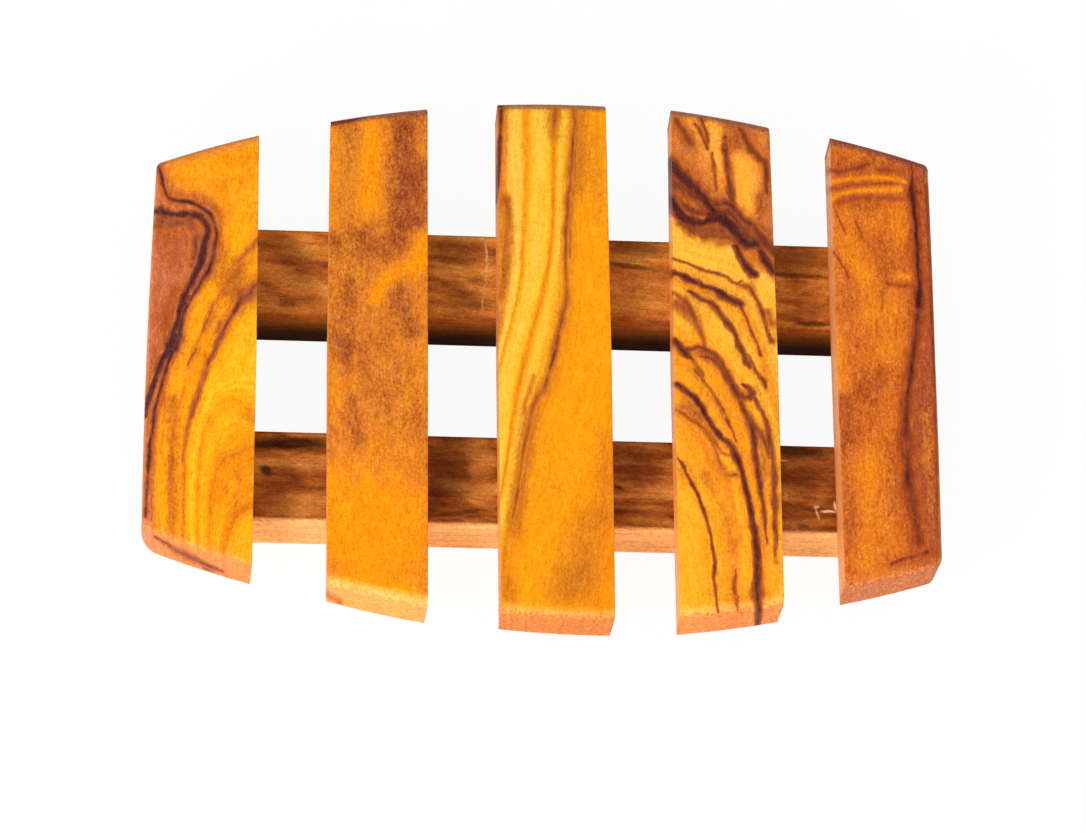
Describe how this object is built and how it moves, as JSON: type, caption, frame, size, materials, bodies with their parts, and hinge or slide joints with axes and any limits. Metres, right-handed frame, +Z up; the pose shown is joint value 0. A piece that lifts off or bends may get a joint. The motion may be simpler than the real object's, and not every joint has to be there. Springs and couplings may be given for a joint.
{
  "type": "soap dish",
  "caption": "Free-standing slatted olive-wood soap dish with a barrel-shaped outline, its spaced slats fastened flat across two cross rails so that water drains away.",
  "frame": {"origin": "centre of the overall footprint, on the surface that the two rails stand on", "axes": "+X along the rails to the right, +Y along the slats to the back, +Z up out of the slats' tops"},
  "size_m": [0.1202, 0.0848, 0.017],
  "materials": {
    "left_end_slat": "oiled olive wood, amber with purple-brown figure",
    "left_slat": "oiled olive wood, mottled orange-brown",
    "middle_slat": "oiled olive wood, straight yellow and orange bands",
    "right_slat": "oiled olive wood, amber with dark swirling veins",
    "right_end_slat": "oiled olive wood, mottled red-brown",
    "back_rail": "oiled olive wood, fine straight grain",
    "front_rail": "oiled olive wood, fine straight grain",
    "pins": "plain bright steel"
  },
  "bodies": {
    "root": {"left_end_slat": "left_end_slat", "left_slat": "left_slat", "middle_slat": "middle_slat", "right_slat": "right_slat", "right_end_slat": "right_end_slat", "back_rail": "back_rail", "front_rail": "front_rail", "back_rail_pins": "pins", "front_rail_pins": "pins"}
  },
  "joints": []
}
